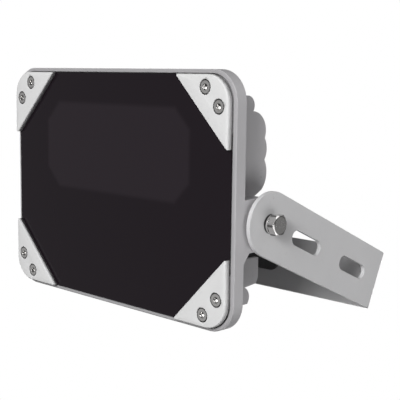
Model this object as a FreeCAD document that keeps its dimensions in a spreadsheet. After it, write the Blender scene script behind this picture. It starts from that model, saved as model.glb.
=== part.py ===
import FreeCAD, Part
import math
import os

import Sketcher

Vec = FreeCAD.Vector
doc = FreeCAD.newDocument("illuminator")

# Frame of the part: the wall is the plane Y = 0, the object stands out towards -Y, +Z is up.
# The origin is the centre of the bracket's wall face. Lengths are millimetres, angles degrees.
#
# Frame of the head, in which every piece of the head is drawn: x to the right seen from the
# front, y up, z out of the window, with z = 0 on the front face of the rim.

SIZES = [
    # head casting
    ("head_width", 180, "rim, left to right"),
    ("head_height", 130, "rim, top to bottom"),
    ("head_corner_radius", 16, "outline corners of the rim"),
    ("rim_depth", 7, "front to back of the rim"),
    ("rim_bevel", 0.6, "bevel round the front of the rim"),
    ("lip_width", 2.3, "rim left showing round the window"),
    ("pan_side_step", 10, "rim overhang past the pan, left and right"),
    ("pan_end_step", 11.5, "rim overhang past the pan, top and bottom"),
    ("pan_corner_radius", 4, "outline corners of the pan"),
    ("pan_depth", 17.5, "rim front to the outside of the pan floor"),
    ("wall_thickness", 3, "side walls of the pan"),
    ("floor_thickness", 4, "floor of the pan, which carries the fins"),
    # fins
    ("fin_count", 15, "fins across the back"),
    ("fin_thickness", 2.4, "one fin"),
    ("fin_depth", 32.3, "rim front to the scallop cusps of the upper fins"),
    ("fin_cusp_1", 30.8, "height of the first cusp of the upper fins"),
    ("fin_cusp_2", 19.8, "height of the second cusp"),
    ("fin_cusp_3", 4.6, "height of the last cusp"),
    ("scallop_radius", 10, "scallops of the fin outline"),
    ("last_scallop_radius", 12.4, "scallop above the last cusp"),
    ("fin_top", 52.3, "top of the upper fins"),
    ("fin_foot", 1.3, "bottom of the upper fins"),
    ("fin_foot_depth", 24.5, "rim front to the fin edge at its foot"),
    ("shoulder_y", 44.5, "height where the top bump of the fins ends"),
    ("shoulder_depth", 23.2, "rim front to the notch under the top bump"),
    ("shoulder_rise", 1.8, "how far the pan floor stays behind the top bump's start"),
    ("shoulder_radius", 5, "top bump of the fins"),
    ("low_fin_top", -30.2, "top of the lower fins"),
    ("low_fin_depth", 29.2, "rim front to the edge of the lower fins"),
    ("low_fin_turn", -39.6, "height where the lower fins start to round off"),
    ("low_notch_y", -44.7, "height of the notch in the lower fins"),
    ("low_notch_depth", 19.2, "rim front to that notch"),
    ("low_notch_lead", 1.0, "height over which the edge drops into the notch"),
    ("low_bump_radius", 5.6, "bottom bump of the fins"),
    ("low_bump_depth", 21.4, "rim front to the foot of the bottom bump"),
    # lugs and pivot
    ("pivot_drop", 10.5, "pivot below the middle of the rim"),
    ("pivot_depth", 22, "rim front to the pivot"),
    ("lug_height", 26.6, "lug, top to bottom"),
    ("lug_drop", 0.7, "middle of the lug below the pivot"),
    ("lug_inset", 0, "lug face behind the side of the rim"),
    ("lug_root", 6, "how far the lug reaches in behind the pan floor"),
    ("gusset_length", 5, "rib under each lug, along the rim"),
    ("gusset_reach", 4, "rib under each lug, front to back"),
    ("gusset_thickness", 5, "rib under each lug"),
    # window
    ("window_thickness", 4, "window pane"),
    ("window_proud", 0.7, "window in front of the rim"),
    ("window_play", 0.15, "gap round the window"),
    ("window_corner_cut", 28.5, "corner cut off the window, along each side"),
    ("gasket_thickness", 1.5, "gasket under the window"),
    ("gasket_width", 7.5, "gasket, across its strip"),
    ("gasket_play", 0.5, "gap between the gasket and the recess wall"),
    # corner clamps and their screws
    ("clamp_thickness", 3, "corner clamp plate"),
    ("clamp_leg", 37, "clamp along each side, to its sharp corners"),
    ("clamp_tip", 1.2, "width of the cut-off clamp tips"),
    ("clamp_bevel", 0.6, "bevel round the clamp face"),
    ("clamp_edge", 2.4, "clamp outline inside the rim outline"),
    ("screw_near", 6.2, "screw centre from the near side of the clamp"),
    ("screw_far", 15.4, "screw centre from the other side of the clamp"),
    ("screw_radius", 2, "clamp screw shank"),
    ("screw_length", 8, "clamp screw, top to end"),
    ("screw_head_radius", 3.75, "countersunk head of the clamp screw"),
    ("screw_land", 0.3, "straight edge of that head, above its cone"),
    ("screw_sink", 0.2, "top of the head below the face of the clamp"),
    ("screw_seat_play", 0.12, "gap between the head and its countersink"),
    ("screw_socket", 2.5, "hexagon socket across flats"),
    ("screw_socket_depth", 1.5, "hexagon socket"),
    ("screw_play", 0.15, "gap round a screw in its clearance hole"),
    ("thread_play", 0.05, "gap round a screw in its thread"),
    ("screw_tail", 0.8, "blind hole past the end of a screw"),
    # lamp: lens plate, board, emitters
    ("lamp_width", 119, "lens plate, left to right"),
    ("lamp_height", 49.6, "lens plate, top to bottom"),
    ("lamp_corner_cut", 11, "corners cut off the lens plate"),
    ("lamp_rise", 21.4, "middle of the lamp above the middle of the rim"),
    ("lens_gap", 1, "window to the lens plate"),
    ("lens_plate_thickness", 2, "lens plate"),
    ("lens_radius", 6.6, "one hexagonal lens where it meets the plate, across corners / 2"),
    ("lens_tip_radius", 3, "one lens at its emitter, across corners / 2"),
    ("lens_clear", 0.25, "lens tip to its emitter"),
    ("lens_columns", 8, "lenses across"),
    ("lens_rows", 3, "lenses down"),
    ("lens_pitch_x", 14, "lens spacing across"),
    ("lens_pitch_y", 15, "lens spacing down"),
    ("lens_leg_radius", 1.6, "legs that carry the lens plate on the board"),
    ("led_board_margin", 1.5, "board outline inside the lens plate outline"),
    ("board_thickness", 1.6, "both circuit boards"),
    ("pad_thickness", 0.5, "thermal pad under the lamp board"),
    ("emitter_size", 3.5, "emitter body, square"),
    ("emitter_height", 0.8, "emitter body"),
    ("emitter_dome", 1.4, "radius of the eight-sided lens on the emitter"),
    ("emitter_dome_height", 1.1, "lens on the emitter"),
    ("board_screw_radius", 1.5, "screws of both boards"),
    ("board_screw_length", 4.6, "screws of both boards, under the head"),
    ("board_screw_flats", 5.5, "their hexagon heads across flats"),
    ("board_screw_head_height", 2, "their heads"),
    # driver board
    ("driver_width", 118, "driver board, left to right"),
    ("driver_height", 18, "driver board, top to bottom"),
    ("driver_margin", 2, "driver board above the lower wall"),
    ("driver_gap", 2, "gap between the pieces at the left end of the driver board"),
    ("boss_height", 2, "bosses under the driver board"),
    ("boss_radius", 3.2, "bosses under the driver board"),
    ("boss_inset", 4.5, "boss centres from the board's corners"),
    ("coil_radius", 6, "choke on the driver board"),
    ("coil_height", 5, "choke on the driver board"),
    ("capacitor_radius", 3.15, "one capacitor"),
    ("capacitor_height", 5.4, "one capacitor"),
    ("chip_size", 7, "controller, square"),
    ("chip_height", 1.2, "controller"),
    ("terminal_length", 16, "terminal block"),
    ("terminal_width", 7.5, "terminal block"),
    ("terminal_height", 5.6, "terminal block"),
    ("terminal_hole", 1.4, "radius of the wire holes in the terminal block"),
    ("sensor_radius", 2.5, "daylight sensor"),
    ("sensor_height", 3.2, "daylight sensor"),
    ("link_width", 8, "flat cable from the driver board to the lamp board"),
    ("link_thickness", 0.6, "flat cable"),
    ("link_arch", 2.6, "height of the flat cable above the driver board"),
    ("link_bend", 1.2, "outside of its bends"),
    ("link_overlap", 2, "how far it reaches over the lamp board"),
    # cable gland and vent
    ("gland_drop", 15.6, "gland and vent below the middle of the rim"),
    ("gland_thread", 8, "radius of the gland thread"),
    ("gland_flats", 20, "gland hexagons across flats"),
    ("gland_collar", 6, "fixed hexagon of the gland"),
    ("gland_neck_radius", 7, "outer thread of the gland"),
    ("gland_neck_length", 8, "outer thread of the gland"),
    ("gland_ring_thickness", 1.5, "sealing ring under the gland"),
    ("gland_nut_hex", 8, "hexagon of the dome nut"),
    ("gland_dome_length", 7, "dome of the dome nut"),
    ("gland_dome_radius", 6.2, "dome nut at its mouth"),
    ("gland_bore", 5, "inside of the gland body"),
    ("cable_radius", 3.25, "hole in the rubber seal"),
    ("locknut_thickness", 5, "locknut inside the housing"),
    ("vent_offset", 46, "vent to the side of the gland"),
    ("vent_thread", 6, "radius of the vent thread"),
    ("vent_cap_radius", 9, "cap of the vent"),
    ("vent_cap_height", 5, "cap of the vent"),
    # pivot hardware
    ("friction_thickness", 1.5, "friction washer between lug and arm"),
    ("friction_radius", 11.5, "friction washer"),
    ("bolt_radius", 3, "pivot bolt shank"),
    ("bolt_length", 16, "pivot bolt under its head"),
    ("bolt_flats", 10, "pivot bolt head across flats"),
    ("bolt_head_height", 4, "pivot bolt head"),
    ("bolt_tail", 1.5, "blind hole past the end of the bolt"),
    ("bolt_play", 0.3, "gap round the bolt in the arm"),
    ("spring_radius", 4.9, "spring washer"),
    ("spring_thickness", 1.2, "spring washer"),
    ("spring_height", 2.6, "spring washer, over its two raised ends"),
    ("spring_turn", 0.97, "share of a full turn that the spring washer takes"),
    ("spring_slit", 52, "angle of its low end round the bolt, from the back of the head"),
    # bracket
    ("aim_angle", 24.3, "window tipped down from level"),
    ("wall_reach", 105.7, "wall to the pivot"),
    ("sheet_thickness", 2.3, "bracket sheet"),
    ("sheet_width", 33.3, "bracket sheet, edge to edge"),
    ("bend_radius", 1.2, "inside of the bends"),
    ("tip_setback", 15.2, "pivot to the tip of the arm"),
    ("slot_width", 8, "slots in the arms"),
    ("slot_length", 25.5, "slots in the arms, end to end"),
    ("slot_1", 32.1, "pivot to the middle of the first slot"),
    ("slot_2", 77.1, "pivot to the middle of the second slot"),
    ("plug_slot_width", 9, "middle slot in the base, closed by the plug"),
    ("plug_slot_length", 40, "middle slot in the base, end to end"),
    ("plug_width", 12.8, "flange of the plug"),
    ("plug_length", 44.8, "flange of the plug, end to end"),
    ("plug_flange", 1.2, "thickness of the plug's flange"),
    ("wall_slot_width", 8, "slots in the base"),
    ("wall_slot_length", 20, "slots in the base, end to end"),
    ("wall_slot_offset", 50, "slots from the middle of the base"),
]

sheet = doc.addObject("Spreadsheet::Sheet", "sizes")
for row, (alias, value, meaning) in enumerate(SIZES, start=1):
    sheet.set(f"A{row}", str(value))
    sheet.setAlias(f"A{row}", alias)
    sheet.set(f"B{row}", meaning)
doc.recompute()

ALIASES = {alias for alias, value, meaning in SIZES}


def bound(text):
    """Turn a formula in plain size names into one that reads the spreadsheet."""
    words = str(text).replace("(", " ( ").replace(")", " ) ").split()
    formula = " ".join("sizes." + word if word in ALIASES else word for word in words)
    return formula.replace("sin (", "sin(").replace("cos (", "cos(")


def size(text):
    """The present value of a formula, in millimetres."""
    return float(sheet.evalExpression(bound(text)))


# Formulas that several pieces share.

HALF_WIDTH = "head_width / 2"
HALF_HEIGHT = "head_height / 2"
RECESS_X = f"( {HALF_WIDTH} - lip_width )"
RECESS_Y = f"( {HALF_HEIGHT} - lip_width )"
RECESS_DEPTH = "( window_thickness - window_proud + gasket_thickness )"
PAN_X = f"( {HALF_WIDTH} - pan_side_step )"
PAN_Y = f"( {HALF_HEIGHT} - pan_end_step )"
CAVITY_X = f"( {PAN_X} - wall_thickness )"
CAVITY_Y = f"( {PAN_Y} - wall_thickness )"
FLOOR = "( pan_depth - floor_thickness )"
CLAMP_X = f"( {HALF_WIDTH} - clamp_edge )"
CLAMP_Y = f"( {HALF_HEIGHT} - clamp_edge )"
LUG_FACE = f"( {HALF_WIDTH} - lug_inset )"
LUG_Y = "( pivot_drop + lug_drop )"
ARM_INSIDE = f"( {LUG_FACE} + friction_thickness )"
ARM_OUTSIDE = f"( {ARM_INSIDE} + sheet_thickness )"
BOLT_SEAT = f"( {ARM_OUTSIDE} + spring_height )"
LAMP_BOARD_BACK = f"( {FLOOR} - pad_thickness )"
LAMP_BOARD_FRONT = f"( {LAMP_BOARD_BACK} - board_thickness )"
LENS_FRONT = "( window_thickness - window_proud + lens_gap )"
LENS_BACK = f"( {LENS_FRONT} + lens_plate_thickness )"
LENS_TIP = f"( {LAMP_BOARD_FRONT} - emitter_height - emitter_dome_height - lens_clear )"
DRIVER_BACK = f"( {FLOOR} - boss_height )"
DRIVER_FRONT = f"( {DRIVER_BACK} - board_thickness )"
DRIVER_Y = f"( {CAVITY_Y} - driver_margin - driver_height / 2 )"
BOSS_X = "( driver_width / 2 - boss_inset )"
BOSS_Y = "( driver_height / 2 - boss_inset )"
GLAND_SEAT = "( pan_depth + gland_ring_thickness )"
GLAND_NUT_SEAT = f"( {GLAND_SEAT} + gland_collar )"
ARM_TIP = "( wall_reach + tip_setback )"

# Sketches, and the features made from them.


def new_body(label):
    body = doc.addObject("PartDesign::Body", label)
    body.Label = label
    return body


def origin_feature(body, role):
    return next(item for item in body.Origin.OriginFeatures if item.Role == role)


def new_sketch(body, plane, level):
    sketch = body.newObject("Sketcher::SketchObject", body.Name + "_sketch")
    sketch.AttachmentSupport = (origin_feature(body, plane), [""])
    sketch.MapMode = "FlatFace"
    sketch.setExpression("AttachmentOffset.Base.z", bound(level))
    return sketch


def fix_point(sketch, geometry, position, point):
    """Hold one point of a sketch at a pair of formulas."""
    for kind, formula in zip(("DistanceX", "DistanceY"), point):
        datum = Sketcher.Constraint(kind, -1, 1, geometry, position, size(formula))
        index = sketch.addConstraint(datum)
        sketch.setExpression(f"Constraints[{index}]", bound(formula))


def fix_radius(sketch, geometry, formula):
    index = sketch.addConstraint(Sketcher.Constraint("Radius", geometry, size(formula)))
    sketch.setExpression(f"Constraints[{index}]", bound(formula))


def arc_through(start, end, radius):
    """The short arc between two points: turning left for a positive radius, else right."""
    chord = end - start
    half = chord.Length / 2
    rise = math.sqrt(max(radius * radius - half * half, 0))
    left = Vec(-chord.y, chord.x, 0).normalize()
    centre = (start + end) / 2 + left * math.copysign(rise, radius)
    first, last = (start, end) if radius > 0 else (end, start)
    angles = [math.atan2(point.y - centre.y, point.x - centre.x) for point in (first, last)]
    circle = Part.Circle(centre, Vec(0, 0, 1), abs(radius))
    return Part.ArcOfCircle(circle, angles[0], angles[1])


def outline(body, points, level="0", plane="XY_Plane"):
    """A closed outline. A point is (x, y), or (x, y, bulge) where an arc leads to the next
    point: the bulge is the arc's radius, with a minus sign where it turns right."""
    sketch = new_sketch(body, plane, level)
    places = [Vec(size(point[0]), size(point[1]), 0) for point in points]
    ends = []
    for index, point in enumerate(points):
        start = places[index]
        end = places[(index + 1) % len(places)]
        turns_left = True
        if len(point) == 2:
            sketch.addGeometry(Part.LineSegment(start, end))
        else:
            radius = size(point[2])
            turns_left = radius > 0
            sketch.addGeometry(arc_through(start, end, radius))
        ends.append((1, 2) if turns_left else (2, 1))
    for index, point in enumerate(points):
        following = (index + 1) % len(points)
        joint = (index, ends[index][1], following, ends[following][0])
        sketch.addConstraint(Sketcher.Constraint("Coincident", *joint))
        fix_point(sketch, index, ends[index][0], point[:2])
        if len(point) == 3:
            fix_radius(sketch, index, str(point[2]).lstrip("-"))
    return sketch


def circles(body, places, level="0", plane="XY_Plane"):
    """A sketch of circles, each (x, y, radius)."""
    sketch = new_sketch(body, plane, level)
    for x, y, radius in places:
        centre = Vec(size(x), size(y), 0)
        index = sketch.addGeometry(Part.Circle(centre, Vec(0, 0, 1), size(radius)))
        fix_point(sketch, index, 3, (x, y))
        fix_radius(sketch, index, radius)
    return sketch


def slots(body, places, width, length, level="0", plane="XY_Plane"):
    """A sketch of slots with round ends that run along its x axis, each centred at (x, y)."""
    sketch = new_sketch(body, plane, level)
    for x, y in places:
        radius = size(f"( {width} ) / 2")
        run = size(f"( {length} - {width} ) / 2")
        middle = Vec(size(x), size(y), 0)
        right = Part.Circle(middle + Vec(run, 0, 0), Vec(0, 0, 1), radius)
        left = Part.Circle(middle - Vec(run, 0, 0), Vec(0, 0, 1), radius)
        quarter = math.pi / 2
        first = sketch.addGeometry(Part.ArcOfCircle(right, -quarter, quarter))
        second = sketch.addGeometry(Part.ArcOfCircle(left, quarter, 3 * quarter))
        top = sketch.addGeometry(Part.LineSegment(middle + Vec(run, radius, 0),
                                                  middle + Vec(-run, radius, 0)))
        bottom = sketch.addGeometry(Part.LineSegment(middle + Vec(-run, -radius, 0),
                                                     middle + Vec(run, -radius, 0)))
        for joint in ((first, 2, top, 1), (top, 2, second, 1),
                      (second, 2, bottom, 1), (bottom, 2, first, 1)):
            sketch.addConstraint(Sketcher.Constraint("Tangent", *joint))
        fix_point(sketch, first, 3, (f"{x} + ( {length} - {width} ) / 2", y))
        fix_point(sketch, second, 3, (f"{x} - ( {length} - {width} ) / 2", y))
        fix_radius(sketch, first, f"( {width} ) / 2")
    return sketch


def rounded_rectangle(half_x, half_y, radius, x="0", y="0"):
    """Outline points of a rectangle with round corners."""
    left, right = f"{x} - {half_x}", f"{x} + {half_x}"
    low, high = f"{y} - {half_y}", f"{y} + {half_y}"
    return [(f"{left} + {radius}", low), (f"{right} - {radius}", low, radius),
            (right, f"{low} + {radius}"), (right, f"{high} - {radius}", radius),
            (f"{right} - {radius}", high), (f"{left} + {radius}", high, radius),
            (left, f"{high} - {radius}"), (left, f"{low} + {radius}", radius)]


def cut_corner_rectangle(half_x, half_y, cut, x="0", y="0"):
    """Outline points of a rectangle with its corners cut off at 45 degrees."""
    left, right = f"{x} - {half_x}", f"{x} + {half_x}"
    low, high = f"{y} - {half_y}", f"{y} + {half_y}"
    return [(f"{left} + {cut}", low), (f"{right} - {cut}", low),
            (right, f"{low} + {cut}"), (right, f"{high} - {cut}"),
            (f"{right} - {cut}", high), (f"{left} + {cut}", high),
            (left, f"{high} - {cut}"), (left, f"{low} + {cut}")]


def pad(body, sketch, length, backwards=False, both_sides=False):
    """Add material from a sketch along its normal, or against it."""
    feature = body.newObject("PartDesign::Pad", body.Name + "_pad")
    feature.Profile = sketch
    feature.Reversed = backwards
    if both_sides:
        feature.SideType = "Symmetric"
    feature.setExpression("Length", bound(length))
    return feature


def pocket(body, sketch, length, forwards=False, both_sides=False):
    """Cut a sketch into the body against its normal, or along it, and see that it cuts."""
    doc.recompute()
    before = body.Shape.Volume
    feature = body.newObject("PartDesign::Pocket", body.Name + "_pocket")
    feature.Profile = sketch
    feature.Reversed = forwards
    if both_sides:
        feature.SideType = "Symmetric"
    feature.setExpression("Length", bound(length))
    doc.recompute()
    if not body.Shape.Volume < before:
        raise ValueError(f"a pocket of {body.Label} cuts nothing")
    return feature


def mirror(body, originals, plane="YZ_Plane"):
    feature = body.newObject("PartDesign::Mirrored", body.Name + "_mirror")
    feature.Originals = originals
    feature.MirrorPlane = (origin_feature(body, plane), [""])
    body.Tip = feature
    return feature


def repeat(body, originals, axis, length, count):
    feature = body.newObject("PartDesign::LinearPattern", body.Name + "_row")
    feature.Originals = originals
    feature.Direction = (origin_feature(body, axis), [""])
    feature.setExpression("Length", bound(length))
    feature.setExpression("Occurrences", bound(count))
    body.Tip = feature
    return feature


def bevel_front(body, amount):
    """Bevel the edges of the body's foremost face."""
    doc.recompute()
    bevelled = body.Tip
    faces = bevelled.Shape.Faces
    front = max(range(len(faces)), key=lambda index: faces[index].BoundBox.ZMin)
    feature = body.newObject("PartDesign::Chamfer", body.Name + "_bevel")
    feature.Base = (bevelled, [f"Face{front + 1}"])
    feature.setExpression("Size", bound(amount))
    body.Tip = feature
    return feature


# Primitives, and copies of a finished piece.


def move(item, x="0", y="0", z="0"):
    """Place a primitive at three formulas."""
    for axis, formula in zip("xyz", (x, y, z)):
        item.setExpression(f"Placement.Base.{axis}", bound(formula))
    return item


def cylinder(name, radius, height, x="0", y="0", z="0"):
    item = doc.addObject("Part::Cylinder", name)
    item.setExpression("Radius", bound(radius))
    item.setExpression("Height", bound(height))
    return move(item, x, y, z)


def cone(name, radius_1, radius_2, height, x="0", y="0", z="0"):
    item = doc.addObject("Part::Cone", name)
    item.setExpression("Radius1", bound(radius_1))
    item.setExpression("Radius2", bound(radius_2))
    item.setExpression("Height", bound(height))
    return move(item, x, y, z)


def box(name, length_x, length_y, length_z, x="0", y="0", z="0"):
    """A box centred on x and y that stands on z."""
    item = doc.addObject("Part::Box", name)
    item.setExpression("Length", bound(length_x))
    item.setExpression("Width", bound(length_y))
    item.setExpression("Height", bound(length_z))
    return move(item, f"{x} - ( {length_x} ) / 2", f"{y} - ( {length_y} ) / 2", z)


def hexagon(name, flats, height, x="0", y="0", z="0"):
    item = doc.addObject("Part::Prism", name)
    item.Polygon = 6
    item.setExpression("Circumradius", bound(f"{flats} / cos ( 30 )"
                                             " / 2"))
    item.setExpression("Height", bound(height))
    return move(item, x, y, z)


def hexagon_wire(name, radius, z):
    item = doc.addObject("Part::RegularPolygon", name)
    item.Polygon = 6
    item.setExpression("Circumradius", bound(radius))
    return move(item, z=z)


def fuse(label, items):
    result = doc.addObject("Part::MultiFuse", label)
    result.Shapes = items
    result.Label = label
    return result


def cut(label, base, tool):
    result = doc.addObject("Part::Cut", label)
    result.Base = base
    result.Tool = tool
    result.Label = label
    return result


def common(label, items):
    result = doc.addObject("Part::MultiCommon", label)
    result.Shapes = items
    result.Label = label
    return result


def group(label, master, placements):
    """Copies of one finished piece, as separate solids of one sub-part."""
    doc.recompute()
    shape = master.Shape.copy()
    shape.Placement = FreeCAD.Placement()
    copies = [shape.transformed(place.toMatrix()) for place in placements]
    result = doc.addObject("Part::Feature", label)
    result.Shape = Part.makeCompound(copies)
    result.Label = label
    return result


def at(x, y, z, axis=Vec(0, 0, 1), angle=0):
    """A placement at three formulas."""
    return FreeCAD.Placement(Vec(size(x), size(y), size(z)), FreeCAD.Rotation(axis, angle))


subparts = []


def finish_in_wall_frame(item):
    subparts.append(item)
    return item


def finish_in_head(item):
    """Turn a piece of the head by the aim angle about the pivot, and keep it."""
    turn = FreeCAD.Rotation(Vec(1, 0, 0), size("90 + aim_angle"))
    item.Placement = FreeCAD.Placement(Vec(0, 0, 0), turn)
    item.setExpression("Placement.Rotation.Angle", bound("90 + aim_angle"))
    item.setExpression("Placement.Base.y", bound(
        "0 - wall_reach - pivot_drop * sin ( aim_angle ) - pivot_depth * cos ( aim_angle )"))
    item.setExpression("Placement.Base.z", bound(
        "pivot_drop * cos ( aim_angle ) - pivot_depth * sin ( aim_angle )"))
    subparts.append(item)
    return item


# The two screw centres of each corner, and the signs of the four corners.

SCREWS = [(f"( {CLAMP_X} - screw_far )", f"( {CLAMP_Y} - screw_near )"),
          (f"( {CLAMP_X} - screw_near )", f"( {CLAMP_Y} - screw_far )")]
CORNERS = {"top_left": (-1, 1), "top_right": (1, 1),
           "bottom_left": (-1, -1), "bottom_right": (1, -1)}


def screw_centres():
    return [(f"{sign_x} * {x}", f"{sign_y} * {y}")
            for sign_x, sign_y in CORNERS.values() for x, y in SCREWS]


def make_housing():
    """One casting: rim, window seat, pan, scalloped fins and the two pivot lugs."""
    body = new_body("housing")
    rim = rounded_rectangle(f"{HALF_WIDTH}", f"{HALF_HEIGHT}", "head_corner_radius")
    pad(body, outline(body, rim), "rim_depth", backwards=True)
    bevel_front(body, "rim_bevel")
    pan = rounded_rectangle(PAN_X, PAN_Y, "pan_corner_radius")
    pad(body, outline(body, pan, "0 - rim_depth / 2"), "pan_depth - rim_depth / 2",
        backwards=True)
    make_lugs(body)
    recess = cut_corner_rectangle(RECESS_X, RECESS_Y, "window_corner_cut")
    pocket(body, outline(body, recess), RECESS_DEPTH)
    cavity = rounded_rectangle(CAVITY_X, CAVITY_Y, "( pan_corner_radius - wall_thickness / 2 )")
    pocket(body, outline(body, cavity), FLOOR)
    make_bosses(body)
    make_tapped_holes(body)
    openings = [("0", "0 - gland_drop", "gland_thread + thread_play"),
                ("vent_offset", "0 - gland_drop", "vent_thread + thread_play")]
    pocket(body, circles(body, openings), "pan_depth + 1")
    make_fins(body)
    return finish_in_head(body)


def make_fins(body):
    """Upper and lower fins, drawn from the side: the first axis is height, the second depth."""
    upper = [("fin_foot", "1 - pan_depth"),
             ("fin_foot", "0 - fin_foot_depth"),
             ("fin_cusp_3", "0 - fin_depth + shoulder_rise", "last_scallop_radius"),
             ("fin_cusp_2", "0 - fin_depth", "scallop_radius"),
             ("fin_cusp_1", "0 - fin_depth", "scallop_radius"),
             ("shoulder_y", "0 - shoulder_depth", "shoulder_radius"),
             ("fin_top", "0 - pan_depth - shoulder_rise"),
             ("fin_top", "1 - pan_depth")]
    lower = [(f"0 - {PAN_Y}", "1 - pan_depth"),
             (f"0 - {PAN_Y}", "0 - low_bump_depth", "low_bump_radius"),
             ("low_notch_y", "0 - low_notch_depth"),
             ("low_notch_y + low_notch_lead", "0 - low_fin_depth + shoulder_rise",
              "low_bump_radius"),
             ("low_fin_turn", "0 - low_fin_depth"),
             ("low_fin_top", "0 - low_fin_depth"),
             ("low_fin_top", "1 - pan_depth")]
    first = [pad(body, outline(body, points, f"0 - {PAN_X}", "YZ_Plane"), "fin_thickness")
             for points in (upper, lower)]
    repeat(body, first, "X_Axis", f"2 * {PAN_X} - fin_thickness", "fin_count")


def make_lugs(body):
    """A lug on each side, flush with the rim, with a root behind the pan and a rib below."""
    high, low = f"lug_height / 2 - {LUG_Y}", f"0 - lug_height / 2 - {LUG_Y}"
    nose = [(low, "0 - pivot_depth", "( lug_height / 2 )"),
            (f"0 - {LUG_Y}", "0 - pivot_depth - lug_height / 2", "( lug_height / 2 )"),
            (high, "0 - pivot_depth")]
    lug = [(low, "0 - rim_depth / 2"), *nose, (high, "0 - rim_depth / 2")]
    root = [(low, "floor_thickness / 2 - pan_depth"), *nose,
            (high, "floor_thickness / 2 - pan_depth")]
    rib = [(f"{low} - gusset_length", "0 - rim_depth / 2"),
           (f"{low} - gusset_length", "0 - rim_depth"),
           (low, "0 - rim_depth - gusset_reach"), (low, "0 - rim_depth / 2")]
    face = f"{LUG_FACE}"
    added = [pad(body, outline(body, lug, face, "YZ_Plane"),
                 f"{LUG_FACE} - {PAN_X} + wall_thickness / 2", backwards=True),
             pad(body, outline(body, root, face, "YZ_Plane"),
                 f"{LUG_FACE} - {PAN_X} + lug_root", backwards=True),
             pad(body, outline(body, rib, face, "YZ_Plane"), "gusset_thickness",
                 backwards=True)]
    mirror(body, added)
    hole = circles(body, [("0 - pivot_drop", "0 - pivot_depth", "bolt_radius + thread_play")],
                   face, "YZ_Plane")
    reach = f"bolt_length + bolt_tail - {BOLT_SEAT} + {LUG_FACE}"
    mirror(body, [pocket(body, hole, reach)])


def make_bosses(body):
    """Four bosses on the pan floor that carry the driver board."""
    centres = [(f"{sign_x} * {BOSS_X}", f"{sign_y} * {BOSS_Y} - {DRIVER_Y}", "boss_radius")
               for sign_x, sign_y in CORNERS.values()]
    pad(body, circles(body, centres, f"0 - {FLOOR} - floor_thickness / 2"),
        "boss_height + floor_thickness / 2")


def lamp_screw_centres():
    """Screws of the lamp board stand between its lenses, in the gaps of the lens grid."""
    return [(f"{sign_x} * 3 * lens_pitch_x", f"lamp_rise + {sign_y} * lens_pitch_y / 2")
            for sign_x, sign_y in CORNERS.values()]


def driver_screw_centres():
    return [(f"{sign_x} * {BOSS_X}", f"{sign_y} * {BOSS_Y} - {DRIVER_Y}")
            for sign_x, sign_y in CORNERS.values()]


def make_tapped_holes(body):
    """Blind holes for the clamp screws and for the screws of both boards."""
    clamp = [(x, y, "screw_radius + thread_play") for x, y in screw_centres()]
    pocket(body, circles(body, clamp),
           "screw_length + screw_sink - clamp_thickness - window_proud + screw_tail")
    boards = [(x, y, "board_screw_radius + thread_play") for x, y in lamp_screw_centres()]
    pocket(body, circles(body, boards, f"0 - {FLOOR}"),
           "board_screw_length - board_thickness - pad_thickness + 0.5")
    boards = [(x, y, "board_screw_radius + thread_play") for x, y in driver_screw_centres()]
    pocket(body, circles(body, boards, f"0 - {DRIVER_BACK}"),
           "board_screw_length - board_thickness + 0.5")


def make_window():
    body = new_body("window")
    points = cut_corner_rectangle(f"( {RECESS_X} - window_play )",
                                  f"( {RECESS_Y} - window_play )", "window_corner_cut")
    pad(body, outline(body, points, "window_proud"), "window_thickness", backwards=True)
    return finish_in_head(body)


def make_window_gasket():
    body = new_body("window_gasket")
    outer_x, outer_y = f"( {RECESS_X} - gasket_play )", f"( {RECESS_Y} - gasket_play )"
    points = cut_corner_rectangle(outer_x, outer_y, "window_corner_cut")
    level = "window_proud - window_thickness"
    pad(body, outline(body, points, level), "gasket_thickness", backwards=True)
    hole = cut_corner_rectangle(f"( {outer_x} - gasket_width )", f"( {outer_y} - gasket_width )",
                                "( window_corner_cut - 0.5 * gasket_width )")
    pocket(body, outline(body, hole, level), "gasket_thickness + 1")
    return finish_in_head(body)


def make_corner_clamp(corner, sign_x, sign_y):
    """A triangular plate that holds one corner of the window down, with two screw holes."""
    body = new_body(f"corner_clamp_{corner}")
    radius = "( head_corner_radius - clamp_edge )"
    far_x, far_y = f"( {CLAMP_X} - clamp_leg )", f"( {CLAMP_Y} - clamp_leg )"
    turn = "" if sign_x * sign_y > 0 else "-"
    points = [(CLAMP_X, f"( {far_y} + clamp_tip )"),
              (CLAMP_X, f"( {CLAMP_Y} - {radius} )", f"{turn}{radius}"),
              (f"( {CLAMP_X} - {radius} )", CLAMP_Y),
              (f"( {far_x} + clamp_tip )", CLAMP_Y),
              (f"( {far_x} + clamp_tip )", f"( {CLAMP_Y} - clamp_tip )"),
              (f"( {CLAMP_X} - clamp_tip )", f"( {far_y} + clamp_tip )")]
    placed = [(f"{sign_x} * {point[0]}", f"{sign_y} * {point[1]}", *point[2:])
              for point in points]
    pad(body, outline(body, placed, "window_proud"), "clamp_thickness")
    bevel_front(body, "clamp_bevel")
    holes = [(f"{sign_x} * {x}", f"{sign_y} * {y}", "screw_radius + screw_play")
             for x, y in SCREWS]
    face = "window_proud + clamp_thickness"
    pocket(body, circles(body, holes, face), "clamp_thickness + 1")
    seats = [(f"{sign_x} * {x}", f"{sign_y} * {y}", "screw_head_radius + screw_seat_play")
             for x, y in SCREWS]
    pocket(body, circles(body, seats, face), "screw_sink + screw_land")
    countersink = pocket(body, circles(body, seats, f"{face} - screw_sink - screw_land"),
                         "screw_head_radius + screw_seat_play - screw_radius - screw_play")
    countersink.TaperAngle = -45
    return finish_in_head(body)


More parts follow.
